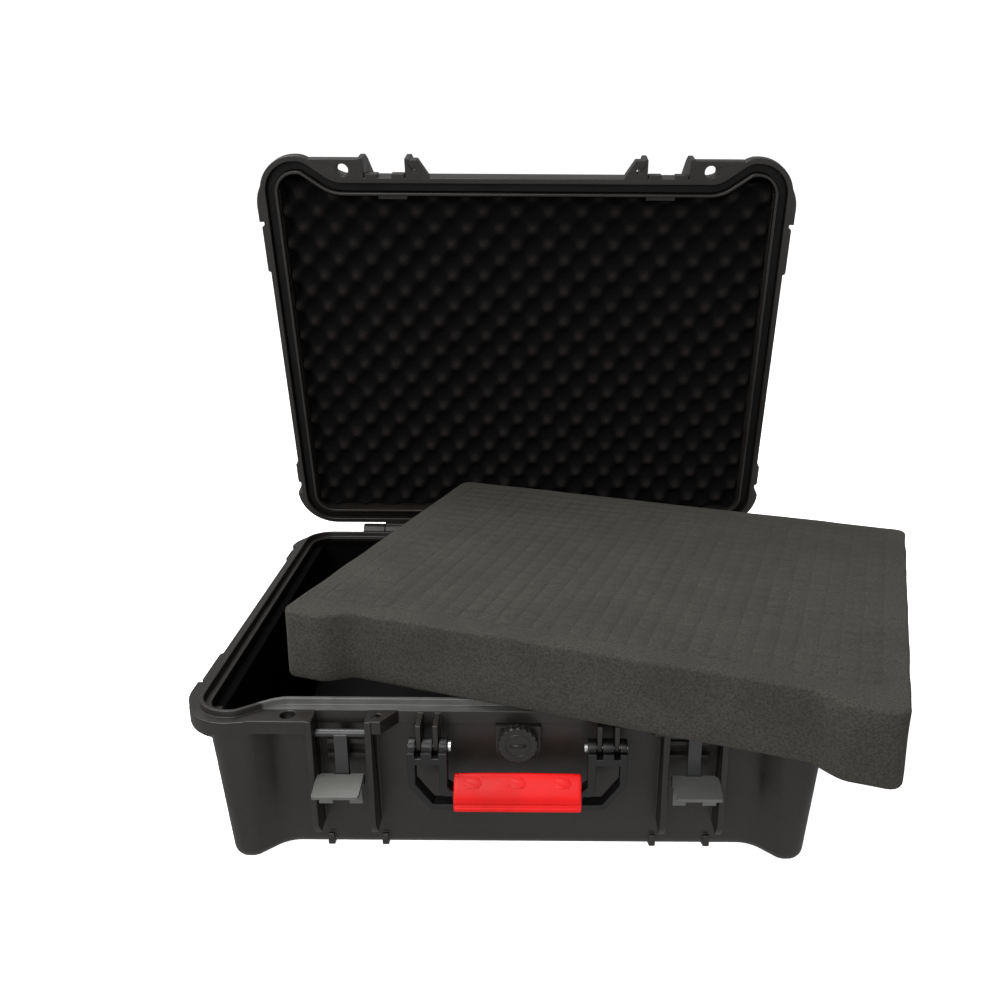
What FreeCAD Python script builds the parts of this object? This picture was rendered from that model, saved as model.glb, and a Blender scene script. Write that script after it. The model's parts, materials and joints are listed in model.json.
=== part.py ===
import FreeCAD, Part
import Sketcher
import math
import os

# Hard equipment case: a moulded base and a hinged lid, drawn in millimetres.
# Origin: bottom centre of the base, on the floor. +X right, -Y front, +Z up.
# Lid pieces are drawn closed and then swung open about the hinge pins.

os.makedirs("parts", exist_ok=True)

DIMENSIONS = {
    # case outline, over the rim flange
    "halfWidth": 257.5, "frontReach": 205, "frontStep": 185, "rearReach": 205,
    "columnEdge": 213, "stepEdge": 184, "slopeShift": 0.28,
    "cornerRound": 36, "curveRound": 22,
    "rimHeight": 131, "lidRise": 69, "flangeThick": 11, "partingGap": 0.4,
    # walls, as insets from the outline
    "wallSide": 20.5, "wallFront": 1, "wallRear": 10, "wallDraft": 3.5, "edgeRound": 11,
    "wallColumnShift": 8, "wallRound": 14,
    "cavitySide": 26, "cavityFront": 12, "cavityRear": 16, "floorThick": 5, "ringWidth": 17,
    "shelfThick": 4, "guardOut": 4.5, "guardDeep": 19,
    # walls of the lid
    "lidWallSide": 12, "lidWallFront": 5, "lidCavitySide": 17.5, "lidColumnIn": 7,
    # rim seal
    "tongueOuter": 8, "tongueInner": 11.5, "tongueRise": 5.5,
    "grooveOuter": 5.3, "grooveInner": 14.2, "grooveDepth": 8.4,
    "gasketOuter": 6.2, "gasketInner": 13.2, "gasketThick": 2.8,
    # hinge
    "hingeAxis": 215.5, "hingeKnuckle": 8, "hingePin": 3, "hingeStart": 100, "knuckleLong": 32.4,
    "endKnuckle": 24.7, "runningGap": 0.05, "lidAngle": 77.5,
    # latches
    "ribInner": 111, "ribOuter": 156, "ribThick": 5, "ribFront": 203, "ribFoot": 27,
    "latchAxisFront": 193, "latchAxisUp": 116, "linkReach": 40, "linkOffset": 3,
    "hubRound": 3.2, "latchPin": 1.6, "leverPin": 1.5, "stemInner": 131, "stemOuter": 141,
    "stemThick": 4, "leverInner": 119.4, "leverOuter": 155.4, "leverThick": 3, "leverLong": 25,
    "leverOffset": 4, "leverOpen": 80, "keeperFront": 188.5,
    # padlock eyes
    "eyeX": 176, "eyeFront": 192, "eyeHole": 5.75, "eyeReach": 202, "smallEyeX": 107,
    # handle
    "handleFront": 200, "handleUp": 109.5, "handlePin": 2.4, "lugRound": 4.2,
    "legOuter": 83.3, "legInner": 53.4, "gripHalf": 49, "gripLow": 61, "gripHigh": 89.5,
    # valve
    "valveUp": 109, "valveHole": 8, "knobRound": 15.5,
    # foam
    "foamX": 92.3, "foamY": -44.8, "foamLow": 137, "foamThick": 59,
    "foamLong": 472, "foamDeep": 368, "foamScoop": 14.5, "foamYaw": -18.9,
    "lidFoamDepth": 7, "padThick": 12,
}

doc = FreeCAD.newDocument("EquipmentCase")
sheet = doc.addObject("Spreadsheet::Sheet", "Sizes")
for row, (alias, number) in enumerate(DIMENSIONS.items(), 1):
    sheet.set(f"A{row}", alias)
    sheet.set(f"B{row}", str(number))
    sheet.setAlias(f"B{row}", alias)
doc.recompute()


class Size:
    """A length with its number and the sheet expression that it comes from."""

    def __init__(self, number, text):
        self.number = float(number)
        self.text = text

    def __add__(self, other):
        other = as_size(other)
        return Size(self.number + other.number, f"({self.text} + {other.text})")

    def __sub__(self, other):
        other = as_size(other)
        return Size(self.number - other.number, f"({self.text} - {other.text})")

    def __mul__(self, other):
        other = as_size(other)
        return Size(self.number * other.number, f"({self.text} * {other.text})")

    def __neg__(self):
        return Size(-self.number, f"(0 - {self.text})")

    def __rsub__(self, other):
        return as_size(other) - self

    __radd__ = __add__
    __rmul__ = __mul__


def as_size(thing):
    if isinstance(thing, Size):
        return thing
    return Size(thing, f"({thing:g})")


def size(alias):
    return Size(sheet.get(alias), f"Sizes.{alias}")


def bind(obj, name, length):
    obj.setExpression(name, as_size(length).text)


def span(side, low, high):
    """A pair of X limits on the right (side 1) or mirrored to the left (side -1)."""
    if side > 0:
        return low, high
    return -as_size(high), -as_size(low)


# ---- features -------------------------------------------------------------

def box(name, x, y, z):
    solid = doc.addObject("Part::Box", name)
    for prop, axis, (low, high) in zip(("Length", "Width", "Height"), "xyz", (x, y, z)):
        bind(solid, prop, as_size(high) - low)
        bind(solid, f"Placement.Base.{axis}", low)
    return solid


TURNS = {"x": FreeCAD.Rotation(FreeCAD.Vector(0, 1, 0), 90),
         "y": FreeCAD.Rotation(FreeCAD.Vector(1, 0, 0), -90),
         "z": FreeCAD.Rotation()}


def cylinder(name, along, start, round_, length):
    """A cylinder from its start point along +X, +Y or +Z."""
    solid = doc.addObject("Part::Cylinder", name)
    solid.Placement.Rotation = TURNS[along]
    bind(solid, "Radius", round_)
    bind(solid, "Height", length)
    for axis, place in zip("xyz", start):
        bind(solid, f"Placement.Base.{axis}", place)
    return solid


def fuse(name, solids):
    result = doc.addObject("Part::MultiFuse", name)
    result.Shapes = solids
    result.Refine = True
    return result


def cut(name, base, tools):
    tool = tools[0] if len(tools) == 1 else fuse(name + "Tools", tools)
    result = doc.addObject("Part::Cut", name)
    result.Base = base
    result.Tool = tool
    result.Refine = True
    return result


def rounded(name, base, radius, chosen):
    """A Part::Fillet on the edges for which chosen(middle point, direction) is true."""
    doc.recompute()
    result = doc.addObject("Part::Fillet", name)
    result.Base = base
    edges = []
    for number, edge in enumerate(base.Shape.Edges, 1):
        if chosen(middle(edge), heading(edge)):
            edges.append((number, radius, radius))
    if not edges:
        raise RuntimeError(f"{name}: no edge to round")
    result.Edges = edges
    return result


def middle(edge):
    return edge.valueAt((edge.FirstParameter + edge.LastParameter) / 2)


def heading(edge):
    return edge.tangentAt((edge.FirstParameter + edge.LastParameter) / 2)


def prism(name, corners, bottom, length, down=False, draft=None, plane="XY_Plane"):
    """A PartDesign body padded from a polygon sketch whose corners are bound to the sheet."""
    body = doc.addObject("PartDesign::Body", name)
    sketch = body.newObject("Sketcher::SketchObject", name + "Sketch")
    support = next(feature for feature in body.Origin.OriginFeatures if feature.Role == plane)
    sketch.AttachmentSupport = (support, "")
    sketch.MapMode = "FlatFace"
    bind(sketch, "AttachmentOffset.Base.z", bottom)
    points = [(as_size(x), as_size(y)) for x, y in corners]
    vectors = [FreeCAD.Vector(x.number, y.number, 0) for x, y in points]
    count = len(points)
    for index in range(count):
        sketch.addGeometry(Part.LineSegment(vectors[index], vectors[(index + 1) % count]))
    for index in range(count):
        sketch.addConstraint(Sketcher.Constraint("Coincident", index, 2, (index + 1) % count, 1))
    for index, point in enumerate(points):
        for kind, place in zip(("DistanceX", "DistanceY"), point):
            ends = (-1, 1, index, 1) if place.number >= 0 else (index, 1, -1, 1)
            distance = place if place.number >= 0 else -place
            number = sketch.addConstraint(Sketcher.Constraint(kind, *ends, distance.number))
            bind(sketch, f"Constraints[{number}]", distance)
    pad = body.newObject("PartDesign::Pad", name + "Pad")
    pad.Profile = sketch
    bind(pad, "Length", length)
    pad.Reversed = down
    if draft is not None:
        bind(pad, "TaperAngle", draft)
    doc.recompute()
    return body


def soften(body, radius, chosen):
    """A PartDesign fillet on the edges of the body's tip that chosen() picks."""
    doc.recompute()
    tip = body.Tip
    names = [f"Edge{number}" for number, edge in enumerate(tip.Shape.Edges, 1)
             if chosen(middle(edge), heading(edge))]
    if not names:
        raise RuntimeError(f"{body.Name}: no edge to round")
    fillet = body.newObject("PartDesign::Fillet", f"{body.Name}Fillet{len(body.Group)}")
    fillet.Base = (tip, names)
    bind(fillet, "Radius", radius)
    doc.recompute()
    return body


def turn_about_x(obj, angle, y, z):
    """Turn a finished piece about an axis along X, given by its place in Y and Z."""
    turn = FreeCAD.Rotation(FreeCAD.Vector(1, 0, 0), angle.number)
    pivot = FreeCAD.Vector(0, y.number, z.number)
    obj.Placement = FreeCAD.Placement(FreeCAD.Vector(), turn, pivot)


def swing(obj):
    """Place a piece that was drawn closed where the open lid carries it."""
    turn_about_x(obj, -size("lidAngle"), size("hingeAxis"), size("rimHeight"))


def at_least(least, length):
    return length if length.number > least else as_size(least)


# ---- the case outline ------------------------------------------------------

LEAST_ROUND = 4


def outline(side, front, rear, column_shift=0, column_in=0):
    """The plan of the case, stepped back between its front columns, at the given insets."""
    x = size("halfWidth") - side
    column_front = -(size("frontReach") - front - column_in)
    step_front = -(size("frontStep") - front)
    back = size("rearReach") - rear
    shift = size("slopeShift") * front
    column = size("columnEdge") + shift - column_shift
    step = size("stepEdge") + shift
    return [(-x, column_front), (-column, column_front), (-step, step_front),
            (step, step_front), (column, column_front), (x, column_front), (x, back), (-x, back)]


def moulding(name, inset, bottom, length, down=False, wall=False, end_round=None, column_in=0):
    """A block in the plan of the case; inset is one number or (side, front, rear).

    A wall block has draft and tighter corners, which leave room for that draft."""
    side, front, rear = inset if isinstance(inset, tuple) else (inset, inset, inset)
    shift = size("wallColumnShift") if wall else 0
    draft = -size("wallDraft") if wall else None
    body = prism(name, outline(side, front, rear, shift, column_in), bottom, length, down, draft)
    column = size("columnEdge").number
    corner = size("cornerRound") - side
    column_round = size("curveRound") - front
    if wall:
        corner = size("wallRound") - as_size(front) * 0.5
        column_round = corner
    corner = at_least(LEAST_ROUND, corner)
    column_round = at_least(LEAST_ROUND, column_round)

    def upright(direction):
        return abs(direction.z) > 0.9

    def is_corner(point, direction):
        return upright(direction) and abs(point.x) > column + 8

    def is_column_edge(point, direction):
        return upright(direction) and abs(abs(point.x) - column) < 12 and point.y < -150

    def is_step_edge(point, direction):
        return upright(direction) and abs(point.x) < column - 16

    soften(body, column_round, is_column_edge)
    soften(body, size("curveRound") + front, is_step_edge)
    soften(body, corner, is_corner)
    if end_round is not None:
        end = as_size(bottom).number + as_size(length).number * (-1 if down else 1)
        soften(body, end_round, lambda point, direction: abs(point.z - end) < 0.01)
    return body


def ring(name, outer, inner, bottom, length):
    return cut(name, moulding(name + "Outer", outer, bottom, length),
               [moulding(name + "Inner", inner, bottom, length)])


RIM = size("rimHeight")
LID_RIM = RIM + size("partingGap")
THICK = size("flangeThick")
RING_DEEP = THICK - size("shelfThick")
WALL = (size("wallSide"), size("wallFront"), size("wallRear"))
CAVITY = (size("cavitySide"), size("cavityFront"), size("cavityRear"))
LID_WALL = (size("lidWallSide"), size("lidWallFront"), size("wallRear"))
LID_CAVITY = (size("lidCavitySide"), size("cavityFront"), size("cavityRear"))
SIDES = {"left": -1, "right": 1}
FRONT_WALL = -174
LATCH_BAY = (size("ribInner") + size("ribThick"), size("ribOuter"))


# ---- details that the base and the lid share --------------------------------

def corner_guards(name, rim, down):
    """The rim is deeper round the corners of the case, and stands out at its sides."""
    out = -size("guardOut")
    block = moulding(name + "Block", (out, 8, 0.2), rim, size("guardDeep"), down)
    blocks = []
    for side in (-1, 1):
        for word, y in (("Front", (-210, -142)), ("Rear", (165, 210))):
            blocks.append(box(f"{name}{word}{side + 1}", span(side, 214, 264), y, (100, 160)))
    guards = doc.addObject("Part::Common", name)
    guards.Base = block
    guards.Tool = fuse(name + "Reach", blocks)
    return guards


def side_pads(name, z):
    """Two pads stand proud of each side of the rim."""
    pads = []
    for side in (-1, 1):
        for number, y in enumerate(((-138, -92), (128, 152))):
            pad = box(f"{name}{number}{side + 1}", span(side, 235, 260.5), y, z)
            pads.append(rounded(f"{name}Soft{number}{side + 1}", pad, 2.4,
                                lambda point, direction: abs(point.x) > 260))
    return pads


def padlock_ears(name, side, z):
    """The wide front ear beside each latch, and the small one on its other side."""
    low, high = z
    ear = box(f"{name}Ear", span(side, size("ribOuter"), 208), (-size("eyeReach"), -180), z)
    ear = rounded(f"{name}EarSoft", ear, 4,
                  lambda point, direction: abs(direction.z) > 0.9 and point.y < -200
                  and abs(point.x) < 180)
    inner = size("ribInner") + size("ribThick")
    plan = [(inner, -size("eyeReach")), (as_size(104), -size("eyeReach")), (as_size(92), -184),
            (inner, -184)]
    corners = [(side * x, y) for x, y in plan]
    small = prism(f"{name}SmallEar", corners, low, as_size(high) - low)
    return [ear, small]


def ear_holes(name, side, z):
    low, high = z
    deep = as_size(high) - low + 2
    return [cylinder(f"{name}EyeHole", "z",
                     (side * size("eyeX"), -size("eyeFront"), as_size(low) - 1),
                     size("eyeHole"), deep),
            cylinder(f"{name}SmallHole", "z",
                     (side * size("smallEyeX"), -192, as_size(low) - 1), 2, deep)]


def knuckle(name, side, start, length, z):
    """One barrel of the hinge, with the web that carries it; z is the web's height."""
    x = span(side, start, start + length)
    barrel = cylinder(name + "Barrel", "x", (x[0], size("hingeAxis"), RIM),
                      size("hingeKnuckle"), length)
    web = box(name + "Web", x, (198, size("hingeAxis")), z)
    return [barrel, web]


def hinge_bore(name, side, start, length, bore):
    x = span(side, start - 1, start + length + 1)
    return cylinder(name, "x", (x[0], size("hingeAxis"), RIM), bore, length + 2)


KNUCKLE_GAP = 0.5
LONG = size("knuckleLong")
FIRST = size("hingeStart")
SECOND = FIRST + LONG + KNUCKLE_GAP
THIRD = SECOND + LONG + KNUCKLE_GAP
LUGS = ((60.3, 64.2), (73.5, 77.3))


# ---- base -------------------------------------------------------------------

def base_rib(name, side, start):
    """A guard rib beside a latch, from the rim down the front wall."""
    x = span(side, start, start + size("ribThick"))
    front = -size("ribFront")
    foot = size("ribFoot")
    corners = [(front, RIM), (front, foot + 12), (front + 8, foot), (FRONT_WALL, foot),
               (FRONT_WALL, RIM)]
    return prism(name, corners, x[0], size("ribThick"), plane="YZ_Plane")


def base_nub(name, side, start):
    """A small foot on the bottom edge, in line with the guard rib above it."""
    x = span(side, start, start + 5)
    corners = [(-179.5, 14), (-181, 9), (-181, 5), (-178, 2.5), (-168, 2.5), (-168, 14)]
    return prism(name, corners, x[0], 5, plane="YZ_Plane")


def base_shell():
    flange = moulding("BaseFlange", 0, RIM, THICK, down=True)
    walls = moulding("BaseWalls", WALL, RIM, RIM, down=True, wall=True,
                     end_round=size("edgeRound"))
    tongue = ring("RimTongue", size("tongueOuter"), size("tongueInner"), RIM - 1,
                  size("tongueRise") + 1)
    ear_z = (RIM - THICK, RIM)
    solids = [flange, walls, corner_guards("BaseGuard", RIM, True)]
    solids += side_pads("BasePad", (RIM - 19, RIM))
    holes = [moulding("BaseOpening", size("ringWidth"), RIM, RING_DEEP, down=True),
             moulding("BaseCavity", CAVITY, RIM - RING_DEEP,
                      RIM - RING_DEEP - size("floorThick"), down=True, wall=True, end_round=6)]
    for word, side in SIDES.items():
        name = "Base" + word.title()
        solids += padlock_ears(name, side, ear_z)
        holes += ear_holes(name, side, ear_z)
        for number, start in enumerate((size("ribInner"), size("ribOuter"))):
            solids.append(base_rib(f"{name}Rib{number}", side, start))
        for number, start in enumerate((106, 150)):
            solids.append(base_nub(f"{name}Nub{number}", side, start))
        for number, z in enumerate(((103.5, 107), (91.5, 95))):
            solids.append(box(f"{name}Slat{number}", span(side, 115, 149), (-188, FRONT_WALL), z))
        for number, (start, length) in enumerate(((FIRST, LONG), (THIRD, size("endKnuckle")))):
            solids += knuckle(f"{name}Knuckle{number}", side, start, length, (RIM - 11, RIM))
            holes.append(hinge_bore(f"{name}Bore{number}", side, start, length,
                                    size("hingePin")))
        for number, (low, high) in enumerate(LUGS):
            reach = size("lugRound")
            lug = box(f"{name}Lug{number}", span(side, low, high),
                      (-size("handleFront") - reach, FRONT_WALL), (size("handleUp") - reach, 129))
            solids.append(rounded(f"{name}LugSoft{number}", lug, 4,
                                  lambda point, direction: point.y < -200 and point.z < 110
                                  and abs(direction.x) > 0.9))
        start = span(side, 52, 85)[0]
        holes.append(cylinder(f"{name}HandleBore", "x",
                              (start, -size("handleFront"), size("handleUp")),
                              size("handlePin"), 33))
        start = span(side, 108, 164)[0]
        holes.append(cylinder(f"{name}LatchBore", "x",
                              (start, -size("latchAxisFront"), size("latchAxisUp")),
                              size("latchPin"), 56))
    boss = box("ValveBoss", (-17.7, 17.7), (-189, FRONT_WALL), (89, 119.6))
    solids.append(rounded("ValveBossSoft", boss, 12,
                          lambda point, direction: abs(direction.y) > 0.9 and point.z < 119))
    holes.append(cylinder("ValveHole", "y", (0, -200, size("valveUp")), size("valveHole"), 40))
    body = cut("BaseHollow", fuse("BaseSolid", solids), holes)
    return fuse("base_shell", [body, tongue])


# ---- lid, drawn closed --------------------------------------------------------

def lid_fin(name, side, start):
    """A guard fin beside a latch; it runs out into the front wall of the lid."""
    x = span(side, start, start + size("ribThick"))
    front = -size("ribFront")
    corners = [(front, LID_RIM), (front, LID_RIM + 22), (front + 6, LID_RIM + 34),
               (-178.5, LID_RIM + 60), (FRONT_WALL, LID_RIM + 60), (FRONT_WALL, LID_RIM)]
    return prism(name, corners, x[0], size("ribThick"), plane="YZ_Plane")


def lid_shell():
    rise = size("lidRise") - size("partingGap")
    flange = moulding("LidFlange", 0, LID_RIM, THICK)
    column_in = size("lidColumnIn")
    walls = moulding("LidWalls", LID_WALL, LID_RIM, rise, wall=True, end_round=8,
                     column_in=column_in)
    ear_z = (LID_RIM, LID_RIM + THICK)
    solids = [flange, walls, corner_guards("LidGuard", LID_RIM, False)]
    solids += side_pads("LidPad", (LID_RIM, LID_RIM + 19))
    holes = [moulding("LidOpening", size("ringWidth"), LID_RIM, RING_DEEP),
             moulding("LidCavity", LID_CAVITY, LID_RIM + RING_DEEP,
                      rise - RING_DEEP - size("floorThick"), wall=True, end_round=6,
                      column_in=column_in),
             ring("LidGroove", size("grooveOuter"), size("grooveInner"), LID_RIM,
                  size("grooveDepth"))]
    for word, side in SIDES.items():
        name = "Lid" + word.title()
        solids += padlock_ears(name, side, ear_z)
        holes += ear_holes(name, side, ear_z)
        for number, start in enumerate((size("ribInner"), size("ribOuter"))):
            solids.append(lid_fin(f"{name}Fin{number}", side, start))
        for number, (low, high) in enumerate(((117, 129.5), (142.5, 155))):
            solids.append(box(f"{name}Keeper{number}", span(side, low, high),
                              (-size("keeperFront"), FRONT_WALL), (LID_RIM, LID_RIM + 10)))
        solids += knuckle(f"{name}Knuckle", side, SECOND, LONG, (LID_RIM, LID_RIM + 11))
        holes.append(hinge_bore(f"{name}Bore", side, SECOND, LONG,
                                size("hingePin") + size("runningGap")))
    top = RIM + size("lidRise")
    for number, (low, high) in enumerate(((-150, -60), (-30, 60), (90, 170))):
        panel = box(f"LidPanel{number}", (-180, 180), (low, high), (top - 1.5, top + 1))
        holes.append(rounded(f"LidPanelSoft{number}", panel, 14,
                             lambda point, direction: abs(direction.z) > 0.9))
    shell = cut("lid_shell", fuse("LidSolid", solids), holes)
    swing(shell)
    return shell


def lid_gasket():
    seat = LID_RIM + size("grooveDepth")
    gasket = ring("lid_gasket", size("gasketOuter"), size("gasketInner"),
                  seat - size("gasketThick"), size("gasketThick"))
    swing(gasket)
    return gasket


def lid_foam():
    """The lining of the lid, as a plain block up to the mean height of its face."""
    depth = size("lidFoamDepth")
    top = RIM + size("lidRise") - size("floorThick") - 3
    low = LID_RIM + depth
    foam = moulding("lid_foam", (18.7, 18.5, 19), low, top - low, wall=True,
                    column_in=size("lidColumnIn"))
    swing(foam)
    return foam


def lid_foam_clips():
    """Two clips on the front inner edge of the lid's rim that keep the lining in."""
    edge = size("frontStep") - size("ringWidth")
    clips = [box(f"Clip{side + 1}", span(side, 116, 144), (-edge, -edge + 4),
                 (LID_RIM + 4.5, LID_RIM + 6.5)) for side in (-1, 1)]
    group = fuse("lid_foam_clips", clips)
    swing(group)
    return group


# ---- foam in and on the base ----------------------------------------------------

def foam_block():
    """The pick-and-pluck block, lifted out and laid askew on the rim."""
    long_, deep = size("foamLong") * 0.5, size("foamDeep") * 0.5
    scoop = size("foamScoop")
    corners = [(-long_, -deep), (-long_ + 38, -deep), (-long_ + 56, -deep + scoop),
               (long_ - 62, -deep + scoop), (long_ - 36, -deep), (long_, -deep),
               (long_, deep), (-long_, deep)]
    block = prism("foam_block", corners, size("foamLow"), size("foamThick"))
    corner = long_.number - 5
    soften(block, 10, lambda point, direction: abs(direction.z) > 0.9 and abs(point.x) < corner)
    soften(block, 8, lambda point, direction: abs(direction.z) > 0.9 and abs(point.x) > corner)
    turn = FreeCAD.Rotation(FreeCAD.Vector(0, 0, 1), size("foamYaw").number)
    place = FreeCAD.Vector(size("foamX").number, size("foamY").number, 0)
    block.Placement = FreeCAD.Placement(place, turn)
    return block


def base_foam_pad():
    """A floor pad; it stops short of the rounded foot of the cavity."""
    x = size("halfWidth") - size("cavitySide") - 15
    front = -(size("frontStep") - size("cavityFront") - 15)
    back = size("rearReach") - size("cavityRear") - 15
    pad = prism("base_foam_pad", [(-x, front), (x, front), (x, back), (-x, back)],
                size("floorThick"), size("padThick"))
    return soften(pad, 12, lambda point, direction: abs(direction.z) > 0.9)


# ---- hinge pins, latches ----------------------------------------------------------

def hinge_pin(word, side):
    length = LONG * 2 + size("endKnuckle") + 2 * KNUCKLE_GAP
    start = span(side, FIRST, FIRST + length)[0]
    return cylinder(f"{word}_hinge_pin", "x", (start, size("hingeAxis"), RIM),
                    size("hingePin"), length)


LATCH_Y = -size("latchAxisFront")
LATCH_Z = size("latchAxisUp")
LEVER_Y = LATCH_Y - size("linkOffset")
LEVER_Z = LATCH_Z - size("linkReach")
LEVER_CHEEKS = ((119.4, 129.5), (142.5, 153))


def latch_base_pin(word, side):
    x = span(side, size("ribInner"), size("ribOuter") + size("ribThick"))
    return cylinder(f"{word}_latch_base_pin", "x", (x[0], LATCH_Y, LATCH_Z), size("latchPin"),
                    size("ribOuter") + size("ribThick") - size("ribInner"))


def latch_link(word, side):
    """The T-shaped arm: its bar turns between the guard ribs, its stem carries the lever."""
    name = f"{word.title()}Link"
    bar = span(side, LATCH_BAY[0] + 0.4, LATCH_BAY[1] - 0.4)
    hub = cylinder(name + "Hub", "x", (bar[0], LATCH_Y, LATCH_Z), size("hubRound"),
                   bar[1] - bar[0])
    stem = box(name + "Stem", span(side, size("stemInner"), size("stemOuter")),
               (LATCH_Y - size("stemThick"), LATCH_Y), (LEVER_Z, LATCH_Z))
    end = span(side, 130, 142)
    eye = cylinder(name + "Eye", "x", (end[0], LEVER_Y, LEVER_Z), 3.4, 12)
    bores = [cylinder(name + "HubBore", "x", (bar[0] - 1, LATCH_Y, LATCH_Z),
                      size("latchPin") + size("runningGap"), bar[1] - bar[0] + 2),
             cylinder(name + "EyeBore", "x", (end[0] - 1, LEVER_Y, LEVER_Z),
                      size("leverPin") + size("runningGap"), 14)]
    return cut(f"{word}_latch_link", fuse(name + "Solid", [hub, stem, eye]), bores)


def latch_lever(word, side):
    """The lever plate, its two cheeks round the pin, and the nose that grips the lid.

    It is drawn flat against the case, as when latched, and then turned open."""
    name = f"{word.title()}Lever"
    back = LEVER_Y - size("leverOffset")
    front = back - size("leverThick")
    foot = LEVER_Z - size("leverLong")
    plate = box(name + "Plate", span(side, size("leverInner"), size("leverOuter")),
                (front, back), (foot, LEVER_Z - 1))
    plate = rounded(name + "PlateSoft", plate, 2,
                    lambda point, direction: abs(direction.y) > 0.9)
    solids = [plate]
    bores = []
    for number, (low, high) in enumerate(LEVER_CHEEKS):
        x = span(side, low, high)
        solids.append(cylinder(f"{name}Cheek{number}", "x", (x[0], LEVER_Y, LEVER_Z), 4,
                               as_size(high) - low))
        solids.append(box(f"{name}Arm{number}", x, (front, LEVER_Y), (LEVER_Z - 4, LEVER_Z)))
        solids.append(box(f"{name}Nose{number}", x, (front, LEVER_Y + 12),
                          (LEVER_Z - 12.7, LEVER_Z - 8.7)))
        bores.append(cylinder(f"{name}Bore{number}", "x", (as_size(x[0]) - 1, LEVER_Y, LEVER_Z),
                              size("leverPin") + size("runningGap"), as_size(high) - low + 2))
    lever = cut(f"{word}_latch_lever", fuse(name + "Solid", solids), bores)
    turn_about_x(lever, -size("leverOpen"), LEVER_Y, LEVER_Z)
    return lever


def latch_lever_pin(word, side):
    low, high = LEVER_CHEEKS[0][0], LEVER_CHEEKS[1][1]
    x = span(side, low, high)
    return cylinder(f"{word}_latch_lever_pin", "x", (x[0], LEVER_Y, LEVER_Z), size("leverPin"),
                    high - low)


# ---- handle -----------------------------------------------------------------------

HANDLE_Y = -size("handleFront")
HANDLE_Z = size("handleUp")
PLATE_BACK = 199
PLATE_THICK = 12
GRIP_CORE = ((-50, 50), (-212, -206), (62.8, 77))


def handle_frame():
    """The black bail: an open frame at each end, joined by the core of the grip."""
    solids = [box("HandleCore", *GRIP_CORE)]
    holes = []
    low, high = size("legInner"), size("legOuter")
    for word, side in SIDES.items():
        name = "Handle" + word.title()
        rim = [(49.6, 59.5), (67, 59.5), (high, 80.5), (high, HANDLE_Z), (low, HANDLE_Z),
               (low, 80), (49.6, 77)]
        window = [(49.6, 64.8), (64.5, 64.8), (77.7, 82.5), (77.7, 99.5), (59.3, 99.5),
                  (59.3, 76), (56, 72), (49.6, 72)]
        for part, corners, keep in (("Rim", rim, solids), ("Window", window, holes)):
            flipped = [(side * as_size(x), z) for x, z in corners]
            deep = 0 if keep is solids else 2
            keep.append(prism(name + part, flipped, PLATE_BACK - deep, PLATE_THICK + 2 * deep,
                              plane="XZ_Plane"))
        x = span(side, low, high)
        solids.append(cylinder(name + "Barrel", "x", (x[0], HANDLE_Y, HANDLE_Z), 6.5, high - low))
        holes.append(cylinder(name + "Bore", "x", (x[0] - 1, HANDLE_Y, HANDLE_Z),
                              size("handlePin") + size("runningGap"), high - low + 2))
        for number, (inner, outer) in enumerate(LUGS):
            holes.append(box(f"{name}Slot{number}", span(side, inner - 0.4, outer + 0.4),
                             (-214, -190), (HANDLE_Z - size("lugRound") - 0.4, 120)))
    return cut("handle_frame", fuse("HandleSolid", solids), holes)


def handle_grip():
    """The soft grip moulded round the core."""
    x = (-size("gripHalf") + 0.2, size("gripHalf") - 0.2)
    block = box("GripBlock", x, (-216, -202.6), (size("gripLow"), size("gripHigh")))
    block = rounded("GripSoft", block, 4, lambda point, direction: abs(direction.x) > 0.9)
    return cut("handle_grip", block, [box("GripCore", *GRIP_CORE)])


def handle_pin(word, side):
    low, high = size("legInner") - 0.5, size("legOuter") + 0.5
    x = span(side, low, high)
    shaft = cylinder(f"{word.title()}PinShaft", "x", (x[0], HANDLE_Y, HANDLE_Z),
                     size("handlePin"), high - low)
    x = span(side, low - 2, low)
    head = cylinder(f"{word.title()}PinHead", "x", (x[0], HANDLE_Y, HANDLE_Z), 4.2, 2)
    return fuse(f"{word}_handle_pin", [shaft, head])


# ---- pressure valve ------------------------------------------------------------------

VALVE_Z = size("valveUp")


def turned(name, round_, front, rear):
    """A disc of the valve, from its front face to its rear face along Y."""
    return cylinder(name, "y", (0, front, VALVE_Z), round_, as_size(rear) - front)


def valve_body():
    solids = [turned("ValveCollar", 11, -191.7, -190.2), turned("ValveSpigot", 6, -196.5, -191),
              turned("ValveBarrel", size("valveHole"), -191, -164)]
    return cut("valve_body", fuse("ValveSolid", solids), [turned("ValveVent", 2.5, -197, -168)])


def valve_o_ring():
    return cut("valve_o_ring", turned("RingOuter", 10.5, -190.2, -189),
               [turned("RingInner", size("valveHole"), -191, -188)])


def valve_nut():
    sides = 6
    across = 13
    corners = [(across * math.cos(math.tau * step / sides),
                VALVE_Z + across * math.sin(math.tau * step / sides)) for step in range(sides)]
    block = prism("NutBlock", corners, 165, 5.8, plane="XZ_Plane")
    return cut("valve_nut", block, [turned("NutThread", size("valveHole"), -172, -164)])


def valve_membrane():
    return turned("valve_membrane", 2.5, -169.5, -168)


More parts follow.
